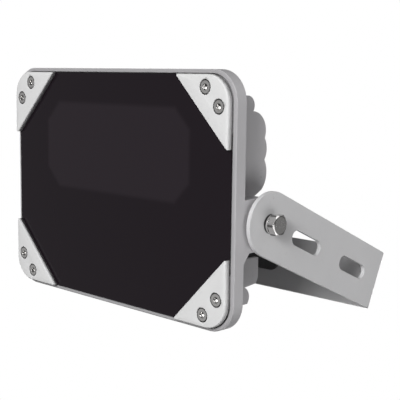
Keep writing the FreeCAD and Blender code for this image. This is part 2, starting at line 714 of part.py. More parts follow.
def make_clamp_screws():
    """Countersunk screws with a hexagon socket, two to each clamp."""
    body = new_body("clamp_screw")
    neck = "( screw_radius - screw_head_radius - screw_land )"
    sketch = outline(body, [("0", "0 - screw_length"), ("screw_radius", "0 - screw_length"),
                            ("screw_radius", neck), ("screw_head_radius", "0 - screw_land"),
                            ("screw_head_radius", "0"), ("0", "0")], plane="XZ_Plane")
    turned = body.newObject("PartDesign::Revolution", "clamp_screw_turned")
    turned.Profile = sketch
    turned.ReferenceAxis = (sketch, ["V_Axis"])
    turned.Angle = 360
    corner = "screw_socket / cos ( 30 ) / 2"
    hexagon_points = [(f"{corner} * cos ( {60 * step} )", f"{corner} * sin ( {60 * step} )")
                      for step in range(6)]
    pocket(body, outline(body, hexagon_points), "screw_socket_depth")
    seats = [at(x, y, "window_proud + clamp_thickness - screw_sink")
             for x, y in screw_centres()]
    return finish_in_head(group("clamp_screws", body, seats))


def lens_centres():
    columns, rows = round(size("lens_columns")), round(size("lens_rows"))
    return [(f"lens_pitch_x * {column - (columns - 1) / 2}",
             f"lamp_rise + lens_pitch_y * {line - (rows - 1) / 2}")
            for line in range(rows) for column in range(columns)]


def lens_leg_centres():
    """Legs of the lens plate stand in the gaps of the lens grid."""
    return [(f"{sign_x} * 2 * lens_pitch_x", f"lamp_rise + {sign_y} * lens_pitch_y / 2")
            for sign_x, sign_y in CORNERS.values()]


def make_lens_plate():
    """A clear plate with a tapered hexagonal lens for each emitter, on four legs."""
    body = new_body("lens_plate_blank")
    points = cut_corner_rectangle("lamp_width / 2", "lamp_height / 2", "lamp_corner_cut",
                                  y="lamp_rise")
    pad(body, outline(body, points, f"0 - {LENS_FRONT}"), "lens_plate_thickness",
        backwards=True)
    legs = [(x, y, "lens_leg_radius") for x, y in lens_leg_centres()]
    pad(body, circles(body, legs, f"0 - {LENS_FRONT} - lens_plate_thickness / 2"),
        f"{LAMP_BOARD_FRONT} - {LENS_FRONT} - lens_plate_thickness / 2", backwards=True)
    ends = [hexagon_wire("lens_tip", "lens_tip_radius", "0"),
            hexagon_wire("lens_root", "lens_radius",
                         f"{LENS_TIP} - {LENS_BACK} + lens_plate_thickness / 2")]
    lens = doc.addObject("Part::Loft", "lens")
    lens.Sections = ends
    lens.Solid = True
    lens.Ruled = True
    tips = [at(x, y, f"0 - {LENS_TIP}") for x, y in lens_centres()]
    lenses = group("lenses", lens, tips)
    return finish_in_head(fuse("lens_plate", [body, lenses]))


def make_led_board():
    body = new_body("led_board")
    points = cut_corner_rectangle("( lamp_width / 2 - led_board_margin )",
                                  "( lamp_height / 2 - led_board_margin )",
                                  "lamp_corner_cut", y="lamp_rise")
    level = f"0 - {LAMP_BOARD_FRONT}"
    pad(body, outline(body, points, level), "board_thickness", backwards=True)
    holes = [(x, y, "board_screw_radius + screw_play") for x, y in lamp_screw_centres()]
    pocket(body, circles(body, holes, level), "board_thickness + 1")
    return finish_in_head(body)


def make_thermal_pad():
    body = new_body("thermal_pad")
    points = cut_corner_rectangle("( lamp_width / 2 - 2 * led_board_margin )",
                                  "( lamp_height / 2 - 2 * led_board_margin )",
                                  "lamp_corner_cut", y="lamp_rise")
    level = f"0 - {LAMP_BOARD_BACK}"
    pad(body, outline(body, points, level), "pad_thickness", backwards=True)
    holes = [(x, y, "board_screw_radius + screw_play") for x, y in lamp_screw_centres()]
    pocket(body, circles(body, holes, level), "pad_thickness + 1")
    return finish_in_head(body)


def make_emitters():
    base = box("emitter_base", "emitter_size", "emitter_size", "emitter_height")
    dome = doc.addObject("Part::Prism", "emitter_lens")
    dome.Polygon = 8
    dome.setExpression("Circumradius", bound("emitter_dome"))
    dome.setExpression("Height", bound("emitter_dome_height"))
    move(dome, z="emitter_height")
    emitter = fuse("emitter", [base, dome])
    seats = [at(x, y, f"0 - {LAMP_BOARD_FRONT}") for x, y in lens_centres()]
    return finish_in_head(group("led_emitters", emitter, seats))


def make_board_screws():
    """Hexagon-headed screws, four for each board."""
    shank = cylinder("board_screw_shank", "board_screw_radius", "board_screw_length",
                     z="0 - board_screw_length")
    head = hexagon("board_screw_top", "board_screw_flats", "board_screw_head_height")
    screw = fuse("board_screw", [shank, head])
    lamp = [at(x, y, f"0 - {LAMP_BOARD_FRONT}") for x, y in lamp_screw_centres()]
    driver = [at(x, y, f"0 - {DRIVER_FRONT}") for x, y in driver_screw_centres()]
    finish_in_head(group("led_board_screws", screw, lamp))
    return finish_in_head(group("driver_screws", screw, driver))


# Places on the driver board, from its middle along its length.

TERMINAL_X = "( terminal_length - driver_width / 2 )"
CHIP_X = f"( {TERMINAL_X} + terminal_length / 2 + driver_gap + chip_size / 2 )"
SENSOR_X = f"( {CHIP_X} + chip_size / 2 + driver_gap + sensor_radius )"
CAPACITOR_X = [f"{SENSOR_X} + sensor_radius + driver_gap + {step} * capacitor_radius"
               for step in (1, 4, 7)]
COIL_X = "( driver_width / 2 - 5 * coil_radius )"
LINK_X = "( driver_width / 2 - 3 * boss_radius - link_width )"


def make_driver_board():
    body = new_body("driver_board")
    points = rounded_rectangle("driver_width / 2", "driver_height / 2", "1", y=f"0 - {DRIVER_Y}")
    level = f"0 - {DRIVER_FRONT}"
    pad(body, outline(body, points, level), "board_thickness", backwards=True)
    holes = [(x, y, "board_screw_radius + screw_play") for x, y in driver_screw_centres()]
    pocket(body, circles(body, holes, level), "board_thickness + 1")
    return finish_in_head(body)


def make_driver_pieces():
    """What stands on the driver board."""
    place = {"y": f"0 - {DRIVER_Y}", "z": f"0 - {DRIVER_FRONT}"}
    coil = cylinder("coil_outside", "coil_radius", "coil_height", COIL_X, **place)
    dimple = cylinder("coil_middle", "coil_radius / 3", "coil_height", COIL_X,
                      y=place["y"], z=place["z"] + " + coil_height / 2")
    finish_in_head(cut("driver_coil", coil, dimple))
    can = cylinder("capacitor_can", "capacitor_radius", "capacitor_height")
    places = [at(x, place["y"], place["z"]) for x in CAPACITOR_X]
    finish_in_head(group("driver_capacitors", can, places))
    chip = box("controller_case", "chip_size", "chip_size", "chip_height", CHIP_X, **place)
    finish_in_head(cut("driver_controller", chip, cylinder(
        "controller_dot", "chip_size / 12", "chip_height", f"{CHIP_X} - chip_size / 3",
        f"{place['y']} + chip_size / 3", f"{place['z']} + chip_height * 0.8")))
    sensor = cylinder("sensor_body", "sensor_radius", "sensor_height", SENSOR_X, **place)
    groove = box("sensor_groove", "sensor_radius", "sensor_radius / 4", "sensor_height",
                 SENSOR_X, place["y"], f"{place['z']} + sensor_height * 0.9")
    finish_in_head(cut("daylight_sensor", sensor, groove))


def make_terminal_block():
    body = new_body("terminal_block")
    half_x, half_y = "terminal_length / 2", "terminal_width / 2"
    points = rounded_rectangle(half_x, half_y, "0.6", TERMINAL_X, f"0 - {DRIVER_Y}")
    level = f"0 - {DRIVER_FRONT}"
    pad(body, outline(body, points, level), "terminal_height")
    holes = [(f"{TERMINAL_X} + {step} * terminal_length / 4", f"0 - {DRIVER_Y}",
              "terminal_hole") for step in (-1, 0, 1)]
    pocket(body, circles(body, holes, f"terminal_height - {DRIVER_FRONT}"),
           "terminal_height / 2")
    return finish_in_head(body)


def make_board_link():
    """A flat cable that arches from the driver board to the lower edge of the lamp board."""
    body = new_body("board_link")
    low_y = f"( driver_height / 2 - boss_inset - {DRIVER_Y} )"
    high_y = ("( lamp_rise - lamp_height / 2 + led_board_margin + link_overlap"
              " + link_thickness )")
    top = f"( link_arch - {DRIVER_FRONT} )"
    inner = "( link_bend - link_thickness )"
    points = [(low_y, f"0 - {DRIVER_FRONT}"),
              (f"{low_y} + link_thickness", f"0 - {DRIVER_FRONT}"),
              (f"{low_y} + link_thickness", f"{top} - link_bend", f"-{inner}"),
              (f"{low_y} + link_bend", f"{top} - link_thickness"),
              (f"{high_y} - link_bend", f"{top} - link_thickness", f"-{inner}"),
              (f"{high_y} - link_thickness", f"{top} - link_bend"),
              (f"{high_y} - link_thickness", f"0 - {LAMP_BOARD_FRONT}"),
              (high_y, f"0 - {LAMP_BOARD_FRONT}"),
              (high_y, f"{top} - link_bend", "link_bend"),
              (f"{high_y} - link_bend", top),
              (f"{low_y} + link_bend", top, "link_bend"),
              (low_y, f"{top} - link_bend")]
    pad(body, outline(body, points, LINK_X, "YZ_Plane"), "link_width")
    return finish_in_head(body)


def make_gland():
    """Cable gland behind the pan: ring, body, locknut, rubber seal and dome nut."""
    y = "0 - gland_drop"
    ring = cylinder("gland_ring_outside", "gland_flats / 2", "gland_ring_thickness",
                    y=y, z=f"0 - {GLAND_SEAT}")
    ring_hole = cylinder("gland_ring_hole", "gland_thread + thread_play", "pan_depth",
                         y=y, z=f"0 - {GLAND_SEAT} - 1")
    finish_in_head(cut("gland_ring", ring, ring_hole))

    inner_end = f"( {FLOOR} - locknut_thickness - 1 )"
    collar = hexagon("gland_collar_hex", "gland_flats", "gland_collar",
                     y=y, z=f"0 - {GLAND_NUT_SEAT}")
    thread = cylinder("gland_inner_thread", "gland_thread", f"{GLAND_SEAT} - {inner_end}",
                      y=y, z=f"0 - {GLAND_SEAT}")
    neck = cylinder("gland_outer_thread", "gland_neck_radius", "gland_neck_length",
                    y=y, z=f"0 - {GLAND_NUT_SEAT} - gland_neck_length")
    solid = fuse("gland_blank", [collar, thread, neck])
    bore = cylinder("gland_body_bore", "gland_bore", f"{GLAND_NUT_SEAT} + gland_neck_length",
                    y=y, z=f"0 - {GLAND_NUT_SEAT} - gland_neck_length - 1")
    finish_in_head(cut("gland_body", solid, bore))

    nut = hexagon("locknut_hex", "gland_flats", "locknut_thickness", y=y,
                  z=f"0 - {FLOOR}")
    nut_hole = cylinder("locknut_hole", "gland_thread + thread_play", "pan_depth",
                        y=y, z=f"0 - {FLOOR} - 1")
    finish_in_head(cut("gland_locknut", nut, nut_hole))

    seal_start = f"( {GLAND_NUT_SEAT} + 1 )"
    seal_end = f"( {GLAND_NUT_SEAT} + gland_neck_length + 1.5 )"
    seal = cylinder("gland_seal_outside", "gland_bore - thread_play",
                    f"{seal_end} - {seal_start}", y=y, z=f"0 - {seal_end}")
    seal_hole = cylinder("gland_seal_hole", "cable_radius", f"{seal_end}", y=y,
                         z=f"0 - {seal_end} - 1")
    finish_in_head(cut("gland_seal", seal, seal_hole))

    nut_start = f"( {GLAND_NUT_SEAT} + 0.4 )"
    nut_end = f"( {nut_start} + gland_nut_hex + gland_dome_length )"
    outer_hex = hexagon("gland_nut_hexagon", "gland_flats", "gland_nut_hex", y=y,
                        z=f"0 - {nut_start} - gland_nut_hex")
    dome = cone("gland_nut_dome", "gland_dome_radius", "gland_flats / 2 - 0.4",
                "gland_dome_length", y=y, z=f"0 - {nut_end}")
    blank = fuse("gland_nut_blank", [outer_hex, dome])
    thread_hole = cylinder("gland_nut_thread", "gland_neck_radius + thread_play",
                           f"{seal_end} + 0.2", y=y, z=f"0 - {seal_end} - 0.2")
    mouth = cylinder("gland_nut_mouth", "cable_radius + 0.6", f"{nut_end} + 1", y=y,
                     z=f"0 - {nut_end} - 1")
    finish_in_head(cut("gland_nut", blank, fuse("gland_nut_inside", [thread_hole, mouth])))


def make_vent():
    """Breather vent beside the gland: a domed cap on a threaded stem."""
    y = "0 - gland_drop"
    stem = cylinder("vent_stem", "vent_thread", "floor_thickness + 1", "vent_offset", y,
                    "0 - pan_depth - 1")
    cap = cone("vent_cap", "vent_cap_radius - 1.5", "vent_cap_radius", "vent_cap_height",
               "vent_offset", y, "0 - pan_depth - vent_cap_height")
    return finish_in_head(fuse("vent_plug", [stem, cap]))


def both_sides(label, master, distance, turn=0):
    """Put a piece on the pivot at both ends, its own z axis pointing outwards."""
    spin = FreeCAD.Placement(Vec(0, 0, 0), FreeCAD.Rotation(Vec(0, 0, 1), turn))
    places = [at(f"{sign} * {distance}", "0 - pivot_drop", "0 - pivot_depth",
                 Vec(0, 1, 0), sign * 90).multiply(spin) for sign in (1, -1)]
    return finish_in_head(group(label, master, places))


def spring_washer():
    """One turn of square wire round the z axis, from z = 0 up to spring_height."""
    body = new_body("spring_washer")
    bore = "( bolt_radius + 0.2 )"
    sketch = outline(body, [(bore, "0"), ("spring_radius", "0"),
                            ("spring_radius", "spring_thickness"),
                            (bore, "spring_thickness")], plane="XZ_Plane")
    coil = body.newObject("PartDesign::AdditiveHelix", "spring_coil")
    coil.Profile = sketch
    coil.ReferenceAxis = (sketch, ["V_Axis"])
    coil.Mode = "pitch-height-angle"
    coil.LeftHanded = True
    coil.setExpression("Height", bound("spring_height - spring_thickness"))
    coil.setExpression("Pitch", bound("( spring_height - spring_thickness ) / spring_turn"))
    return body


def make_pivot_hardware():
    shank = cylinder("bolt_shank", "bolt_radius", "bolt_length", z="0 - bolt_length")
    head = hexagon("bolt_hex", "bolt_flats", "bolt_head_height")
    crown = cone("bolt_crown", "bolt_flats / 2 + 1.7 * bolt_head_height",
                 "bolt_flats / 2 - 0.6", "bolt_head_height")
    bolt = fuse("pivot_bolt", [shank, common("bolt_head", [head, crown])])
    both_sides("pivot_bolts", bolt, BOLT_SEAT)

    def washer(name, radius, hole, thickness):
        outside = cylinder(name + "_outside", radius, thickness)
        return cut(name, outside, cylinder(name + "_hole", hole, f"{thickness} + 1"))

    both_sides("spring_washers", spring_washer(), ARM_OUTSIDE, size("spring_slit"))
    friction = washer("friction_washer", "friction_radius", "bolt_radius + 0.2",
                      "friction_thickness")
    both_sides("friction_washers", friction, LUG_FACE)


def make_bracket():
    """One folded strip: base on the wall, two arms with round ends, slots and holes."""
    body = new_body("bracket")
    inside, outside = ARM_INSIDE, ARM_OUTSIDE
    turn = "( bend_radius + sheet_thickness )"
    tip = f"0 - {ARM_TIP}"
    profile = [(f"{outside} - {turn}", "0"), (f"{turn} - {outside}", "0", turn),
               (f"0 - {outside}", f"0 - {turn}"), (f"0 - {outside}", tip),
               (f"0 - {inside}", tip), (f"0 - {inside}", f"0 - {turn}", "-bend_radius"),
               (f"bend_radius - {inside}", "0 - sheet_thickness"),
               (f"{inside} - bend_radius", "0 - sheet_thickness", "-bend_radius"),
               (inside, f"0 - {turn}"), (inside, tip), (outside, tip),
               (outside, f"0 - {turn}", turn)]
    pad(body, outline(body, profile), "sheet_width", both_sides=True)
    round_start = f"sheet_width / 2 - {ARM_TIP}"
    margin = "sheet_width"
    waste = [(round_start, "sheet_width / 2", "( sheet_width / 2 )"),
             (tip, "0", "( sheet_width / 2 )"),
             (round_start, "0 - sheet_width / 2"), (round_start, f"0 - {margin}"),
             (f"{tip} - {margin}", f"0 - {margin}"), (f"{tip} - {margin}", margin),
             (round_start, margin)]
    through = f"4 * {outside}"
    pocket(body, outline(body, waste, plane="YZ_Plane"), through, both_sides=True)
    pocket(body, circles(body, [("0 - wall_reach", "0", "bolt_radius + bolt_play")],
                         plane="YZ_Plane"), through, both_sides=True)
    places = [("slot_1 - wall_reach", "0"), ("slot_2 - wall_reach", "0")]
    pocket(body, slots(body, places, "slot_width", "slot_length", plane="YZ_Plane"),
           through, both_sides=True)
    pocket(body, slots(body, [("0", "0")], "plug_slot_width", "plug_slot_length",
                       plane="XZ_Plane"), "4 * sheet_thickness", both_sides=True)
    places = [("wall_slot_offset", "0"), ("0 - wall_slot_offset", "0")]
    pocket(body, slots(body, places, "wall_slot_width", "wall_slot_length",
                       plane="XZ_Plane"), "4 * sheet_thickness", both_sides=True)
    return finish_in_wall_frame(body)


def make_base_plug():
    """Flat plug that closes the middle slot of the base, its flange towards the head."""
    body = new_body("base_plug")
    pad(body, slots(body, [("0", "0")], "( plug_slot_width - 2 * thread_play )",
                    "( plug_slot_length - 2 * thread_play )", plane="XZ_Plane"),
        "sheet_thickness + plug_flange / 2")
    pad(body, slots(body, [("0", "0")], "plug_width", "plug_length", "sheet_thickness",
                    "XZ_Plane"), "plug_flange")
    return finish_in_wall_frame(body)


make_housing()
make_window_gasket()
make_window()
for corner, (sign_x, sign_y) in CORNERS.items():
    make_corner_clamp(corner, sign_x, sign_y)
make_clamp_screws()
make_lens_plate()
make_led_board()
make_thermal_pad()
make_emitters()
make_board_screws()
make_driver_board()
make_driver_pieces()
make_terminal_block()
make_board_link()
make_gland()
make_vent()
make_pivot_hardware()
make_bracket()
make_base_plug()
doc.recompute()

for item in doc.Objects:
    if "Invalid" in item.State or "Error" in item.State:
        raise ValueError(f"{item.Label} failed: {item.State}")
os.makedirs("parts", exist_ok=True)
for item in subparts:
    if item.Shape.isNull() or not item.Shape.isValid():
        raise ValueError(f"{item.Label} has no valid shape")
    item.Shape.exportStep(f"parts/{item.Label}.step")
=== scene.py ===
"""Dress the CAD nodes of an infrared illuminator, light them and set the photograph's camera."""
import math

import bmesh
import bpy
from mathutils import Matrix, Vector

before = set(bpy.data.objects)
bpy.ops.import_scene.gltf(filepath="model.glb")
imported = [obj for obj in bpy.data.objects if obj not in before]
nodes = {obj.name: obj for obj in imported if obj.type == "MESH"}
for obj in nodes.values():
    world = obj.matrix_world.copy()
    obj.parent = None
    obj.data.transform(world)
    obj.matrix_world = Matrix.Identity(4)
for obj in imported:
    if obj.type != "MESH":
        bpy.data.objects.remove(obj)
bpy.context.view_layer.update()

MM = 0.001

# The head's own frame: x right, y up, z out of the window, z = 0 on the rim's face.
AIM = math.radians(24.3)                      # how far the head is tipped down
PIVOT = Vector((0, -0.1057, 0))               # the hinge in the scene, in metres
PIVOT_IN_HEAD = Vector((0, -0.0105, -0.022))  # the hinge in the head's frame, in metres
HEAD_TURN = math.pi / 2 + AIM
HEAD = (Matrix.Translation(PIVOT) @ Matrix.Rotation(HEAD_TURN, 4, "X")
        @ Matrix.Translation(-PIVOT_IN_HEAD))

# Places on the head, in millimetres of that frame. Two limits make one soft edge, and four make
# a band with a soft edge on both sides.
SCREWS = ((72.2, 56.4), (81.4, 47.2))         # axes of the two clamp screws of a corner
FINS_X = (80.0, 80.6)                         # the lower fins end here on each side
FINS_Y = (-45.0, -43.0, -30.0, -28.0)         # from below to above them
FINS_Z = (-7.6, -6.8)                         # they end here towards the front
RIM_Z = (-0.6, -0.3)                          # the rim's front face begins here
LIP_CORNER = (74.0, 49.0)                     # centre of the rim's inner corner
LIP_RADIUS = (13.9, 14.3)                     # the seam's painted shade ends this far from it
LIP_LOW = (-56.0, -46.0)                      # the seam's painted shade is darkest below this
LIP_SIDE = (1.0, 7.0)                         # and no farther than this beside LIP_CORNER
FIELD_MIDDLE = 21.45                          # height of the octagon seen in the window
FIELD_HALF = (59.5, 24.8)                     # half its width and half its height
FIELD_CUT = 73.3                              # x + y on its cut corners
FIELD_EDGE = (-2.2, 1.2)                      # its outline, from inside to outside

# Clamp screws, in millimetres from the axis.
SCREW_HOLE = (3.75, 3.9)                      # edge of the countersink
SCREW_EDGE = (2.9, 3.4)                       # edge of the head
SOCKET_RIM = (1.25, 1.4, 1.6, 1.8)
SOCKET = (1.5, 1.7)
SOCKET_UPPER = (-0.6, 0.4)                    # upwards only
SOCKET_FLOOR = (2.0, 2.6)                     # z in the head's frame

# Bolts and washers on the hinge, in millimetres from its axis.
UNDER_WASHER = (4.7, 5.2)
BOLT_RING = (4.15, 4.4, 4.5, 4.8)
BOLT_CORNERS = (5.3, 5.6)


def head_point(x, y, z):
    """A point of the head's frame, in millimetres, as a point of the scene."""
    return HEAD @ (Vector((x, y, z)) * MM)


def grey(level, tint=(1, 1, 1)):
    """A grey of this level, times a tint."""
    return tuple(level * channel for channel in tint) + (1.0,)


WHITE = grey(1.0)
# A near-black for painted shade: dark lines, rings and socket floors that stand in for shade and
# dark reflections.
SHADE_BLACK = grey(0.03)


class Nodes:
    """A node tree, with short calls for the nodes used here."""

    def __init__(self, tree):
        self.tree = tree
        tree.nodes.clear()

    def add(self, kind, **settings):
        node = self.tree.nodes.new(kind)
        for key, value in settings.items():
            setattr(node, key, value)
        return node

    def link(self, start, end):
        self.tree.links.new(start, end)

    def feed(self, socket, value):
        """Put a number, a colour or another node's output on a socket."""
        if isinstance(value, bpy.types.NodeSocket):
            self.link(value, socket)
        else:
            socket.default_value = value

    def math(self, operation, a, b=0.0, c=0.0):
        node = self.add("ShaderNodeMath", operation=operation)
        for socket, value in zip(node.inputs, (a, b, c)):
            self.feed(socket, value)
        return node.outputs[0]

    def times(self, product, *factors):
        for factor in factors:
            product = self.math("MULTIPLY", product, factor)
        return product

    def ramp(self, value, start, end, low, high, smooth=False):
        """Map a value between two limits to two numbers."""
        node = self.add("ShaderNodeMapRange")
        if smooth:
            node.interpolation_type = "SMOOTHSTEP"
        for name, number in zip(("Value", "From Min", "From Max", "To Min", "To Max"),
                                (value, start, end, low, high)):
            self.feed(node.inputs[name], number)
        return node.outputs["Result"]

    def split(self, vector):
        node = self.add("ShaderNodeSeparateXYZ")
        self.link(vector, node.inputs[0])
        return [node.outputs[axis] for axis in "XYZ"]

    def background(self, strength):
        node = self.add("ShaderNodeBackground")
        node.inputs["Color"].default_value = WHITE
        self.feed(node.inputs["Strength"], strength)
        return node.outputs[0]

    def choose(self, factor, a, b):
        """Shader a where the factor is 0 and shader b where it is 1."""
        node = self.add("ShaderNodeMixShader")
        for socket, value in zip(node.inputs, (factor, a, b)):
            self.link(value, socket)
        return node.outputs[0]


class Shader(Nodes):
    """A material with a Principled shader, and calls for patterns on it."""

    def __init__(self, name):
        self.material = bpy.data.materials.new(name)
        self.material.use_nodes = True
        super().__init__(self.material.node_tree)
        self.output = self.add("ShaderNodeOutputMaterial")
        self.principled = self.add("ShaderNodeBsdfPrincipled")
        self.link(self.principled.outputs["BSDF"], self.output.inputs["Surface"])
        self.place = self.add("ShaderNodeTexCoord").outputs["Object"]

    def set(self, **values):
        for key, value in values.items():
            self.feed(self.principled.inputs[key.replace("_", " ")], value)

    def noise(self, scale, detail=2.0, roughness=0.5, place=None):
        node = self.add("ShaderNodeTexNoise")
        self.link(place or self.place, node.inputs["Vector"])
        node.inputs["Scale"].default_value = scale
        node.inputs["Detail"].default_value = detail
        node.inputs["Roughness"].default_value = roughness
        return node.outputs["Fac"]

    def ramp_mm(self, value, start, end, low, high, smooth=False):
        """Like ramp, for a value in metres, between limits in millimetres."""
        return self.ramp(value, start * MM, end * MM, low, high, smooth)

    def band(self, value, start, full, fade, end):
        """1 from full to fade, falling to 0 at start and end, in millimetres."""
        return self.times(self.ramp_mm(value, start, full, 0.0, 1.0),
                          self.ramp_mm(value, fade, end, 1.0, 0.0))

    def mix(self, factor, a, b):
        node = self.add("ShaderNodeMix", data_type="RGBA")
        colours = [socket for socket in node.inputs if socket.type == "RGBA"]
        self.feed(node.inputs["Factor"], factor)
        self.feed(colours[0], a)
        self.feed(colours[1], b)
        return [socket for socket in node.outputs if socket.type == "RGBA"][0]

    def bump(self, height, strength, distance):
        node = self.add("ShaderNodeBump")
        node.inputs["Strength"].default_value = strength
        node.inputs["Distance"].default_value = distance
        self.link(height, node.inputs["Height"])
        return node.outputs["Normal"]

    def length(self, a, b):
        """The length of a vector with two parts."""
        return self.math("SQRT", self.math("ADD", self.times(a, a), self.times(b, b)))

    def stretched(self, x, y, z):
        """Object coordinates stretched along each axis."""
        node = self.add("ShaderNodeMapping")
        self.link(self.place, node.inputs["Vector"])
        node.inputs["Scale"].default_value = (x, y, z)
        return node.outputs["Vector"]

    def head_place(self, origin=(0, 0, 0)):
        """X, Y and Z of the head's frame, in metres from a point given in millimetres."""
        moved = self.add("ShaderNodeVectorMath", operation="SUBTRACT")
        self.link(self.place, moved.inputs[0])
        moved.inputs[1].default_value = tuple(head_point(*origin))
        turned = self.add("ShaderNodeMapping", vector_type="POINT")
        self.link(moved.outputs[0], turned.inputs["Vector"])
        turned.inputs["Rotation"].default_value = (-HEAD_TURN, 0, 0)
        return self.split(turned.outputs["Vector"])


# Where things are: each of these gives a number at every point of a surface.


def lower_fins(s):
    """1 among the lower fins of the casting, 0 elsewhere."""
    x, y, z = s.head_place()
    return s.times(s.ramp_mm(s.math("ABSOLUTE", x), *FINS_X, 1.0, 0.0), s.band(y, *FINS_Y),
                   s.ramp_mm(z, *FINS_Z, 1.0, 0.0))


def rim_face(s):
    """1 on the front of the rim, which is the narrow lip round the window."""
    return s.ramp_mm(s.head_place()[2], *RIM_Z, 0.0, 1.0)


def seam(s):
    """The narrow line where the rim meets clamps and window, where shade is painted: 1 where it
    is darkest.

    That is along the top and bottom and in the lower corners."""
    x, y, z = s.head_place()
    across, up = (
        s.math("MAXIMUM", s.math("SUBTRACT", s.math("ABSOLUTE", value), centre * MM), 0.0)
        for value, centre in zip((x, y), LIP_CORNER))
    near = s.ramp_mm(s.length(across, up), *LIP_RADIUS, 1.0, 0.0)
    amount = s.math("MAXIMUM", s.ramp_mm(y, *LIP_LOW, 1.0, 0.62),
                    s.ramp_mm(across, *LIP_SIDE, 1.0, 0.62))
    return s.times(near, amount, rim_face(s))


def from_screw(s):
    """Distance from the axis of the nearest clamp screw, in metres."""
    x, y, z = s.head_place()
    across, up = s.math("ABSOLUTE", x), s.math("ABSOLUTE", y)
    return s.math("MINIMUM", *(
        s.length(s.math("SUBTRACT", across, a * MM), s.math("SUBTRACT", up, b * MM))
        for a, b in SCREWS))


def above_screw(s):
    """Height above the axis of the nearest clamp screw, in metres."""
    x, y, z = s.head_place()
    outer, inner = (screw[1] for screw in SCREWS)
    is_outer = s.math("GREATER_THAN", s.math("ABSOLUTE", y), (outer + inner) / 2 * MM)
    axis = s.math("MULTIPLY_ADD", is_outer, (outer - inner) * MM, inner * MM)
    return s.math("SUBTRACT", y, s.times(s.math("SIGN", y), axis))


def from_pivot(s):
    """Distance from the axis of the hinge, in metres."""
    x, y, z = s.split(s.place)
    return s.length(s.math("SUBTRACT", y, PIVOT.y), z)


# Painted shade: each of these takes a piece's colour and gives it back darker where shade falls
# or dark reflections show.


def casting_painted_shade(s, colour):
    """Painted shade: darker among the lower fins and on the rim's face, and dark in the seam."""
    for where, strength, level in ((lower_fins(s), 0.22, 0.0), (rim_face(s), 0.22, 0.0),
                                   (seam(s), 0.95, 0.01)):
        colour = s.mix(s.times(where, strength), colour, grey(level))
    return colour


def clamp_painted_shade(s, colour):
    """Painted shade: a dark ring round each countersink."""
    return s.mix(s.ramp_mm(from_screw(s), *SCREW_HOLE, 0.7, 0.0), colour, SHADE_BLACK)


def bracket_painted_shade(s, colour):
    """Painted shade: dark under the spring washers."""
    return s.mix(s.ramp_mm(from_pivot(s), *UNDER_WASHER, 0.95, 0.0), colour, grey(0.012))


def screw_painted_shade(s, colour):
    """Painted shade and reflection: dark round the head, round the socket and on the upper half
    of the socket's floor.
    """
    away = from_screw(s)
    edge = s.ramp_mm(away, *SCREW_EDGE, 0.0, 0.96)
    socket_rim = s.times(s.band(away, *SOCKET_RIM), 0.65)
    deep = s.ramp_mm(s.head_place()[2], *SOCKET_FLOOR, 1.0, 0.0)
    upper = s.ramp_mm(above_screw(s), *SOCKET_UPPER, 0.25, 0.95)
    floor = s.times(s.ramp_mm(away, *SOCKET, 1.0, 0.0), deep, upper)
    painted_dark = s.math("MAXIMUM", edge, s.math("MAXIMUM", socket_rim, floor))
    return s.mix(painted_dark, colour, SHADE_BLACK)


def bolt_painted_shade(s, colour):
    """Painted shade and dark reflection along the edge of the head's face and on its corners."""
    away = from_pivot(s)
    ring = s.band(away, *BOLT_RING)
    corner = s.ramp_mm(away, *BOLT_CORNERS, 0.0, 1.0)
    return s.mix(s.times(s.math("MAXIMUM", ring, corner), 0.8), colour, SHADE_BLACK)


def washer_painted_shade(s, colour):
    """Painted shade on the flat faces of the spring washers, which leaves their rims bright."""
    facing = s.split(s.add("ShaderNodeTexCoord").outputs["Normal"])[0]
    return s.mix(s.ramp(s.math("ABSOLUTE", facing), 0.5, 0.8, 0.0, 0.95), colour, SHADE_BLACK)


# Materials. The first number of a noise is its scale: the higher, the finer.


def painted(name, level, roughness, texture, painted_shade, wear=0.35, tint=(1, 1, 1)):
    """Powder paint: fine orange peel, a faint unevenness and scuffs on worn edges."""
    s = Shader(name)
    cloud, fine, peel = s.noise(28, 3, 0.55), s.noise(900, 2, 0.6), s.noise(1500, 1, 0.5)
    colour = s.mix(s.ramp(cloud, 0.3, 0.7, 0.0, 1.0), grey(level * 0.965, tint),
                   grey(level * 1.02, tint))
    edge = s.add("ShaderNodeNewGeometry").outputs["Pointiness"]
    nicks = s.times(s.ramp(edge, 0.53, 0.60, 0.0, 1.0),
                    s.ramp(s.noise(420, 4, 0.7), 0.60, 0.68, 0.0, 1.0))
    colour = s.mix(s.times(nicks, wear), colour, grey(level * 0.45))
    # The function passed in paints shade into the colour.
    s.set(Base_Color=painted_shade(s, colour), Metallic=0.0, Specular_IOR_Level=0.2,
          Roughness=s.ramp(fine, 0.3, 0.7, roughness - 0.05, roughness + 0.06),
          Normal=s.bump(peel, texture, 0.06 * MM))
    return s.material


def steel(name, level, roughness, painted_shade=None):
    """Bright steel with fine turning marks and a slight stain."""
    s = Shader(name)
    lines = s.noise(1.0, 2, 0.6, s.stretched(60, 1800, 1800))
    stain = s.noise(350, 3, 0.6)
    colour = s.mix(s.ramp(stain, 0.35, 0.7, 0.0, 1.0), grey(level, (1.01, 1, 0.99)),
                   grey(level * 0.9, (1.02, 1, 0.98)))
    # The function passed in, if any, paints shade and dark reflections into the colour.
    if painted_shade:
        colour = painted_shade(s, colour)
    s.set(Base_Color=colour, Metallic=1.0,
          Roughness=s.ramp(lines, 0.3, 0.7, roughness - 0.06, roughness + 0.08),
          Normal=s.bump(lines, 0.07, 0.03 * MM))
    return s.material


def moulded(name, colour, roughness, grain, scale=1300):
    """Moulded plastic or rubber with a fine grain."""
    s = Shader(name)
    dark = tuple(channel * 0.85 for channel in colour) + (1.0,)
    s.set(Base_Color=s.mix(s.ramp(s.noise(90), 0.3, 0.7, 0.0, 1.0), dark, colour + (1.0,)),
          Roughness=s.ramp(s.noise(scale, 1), 0.3, 0.7, roughness - 0.06, roughness + 0.08),
          Normal=s.bump(s.noise(scale, 2, 0.6), grain, 0.05 * MM))
    return s.material


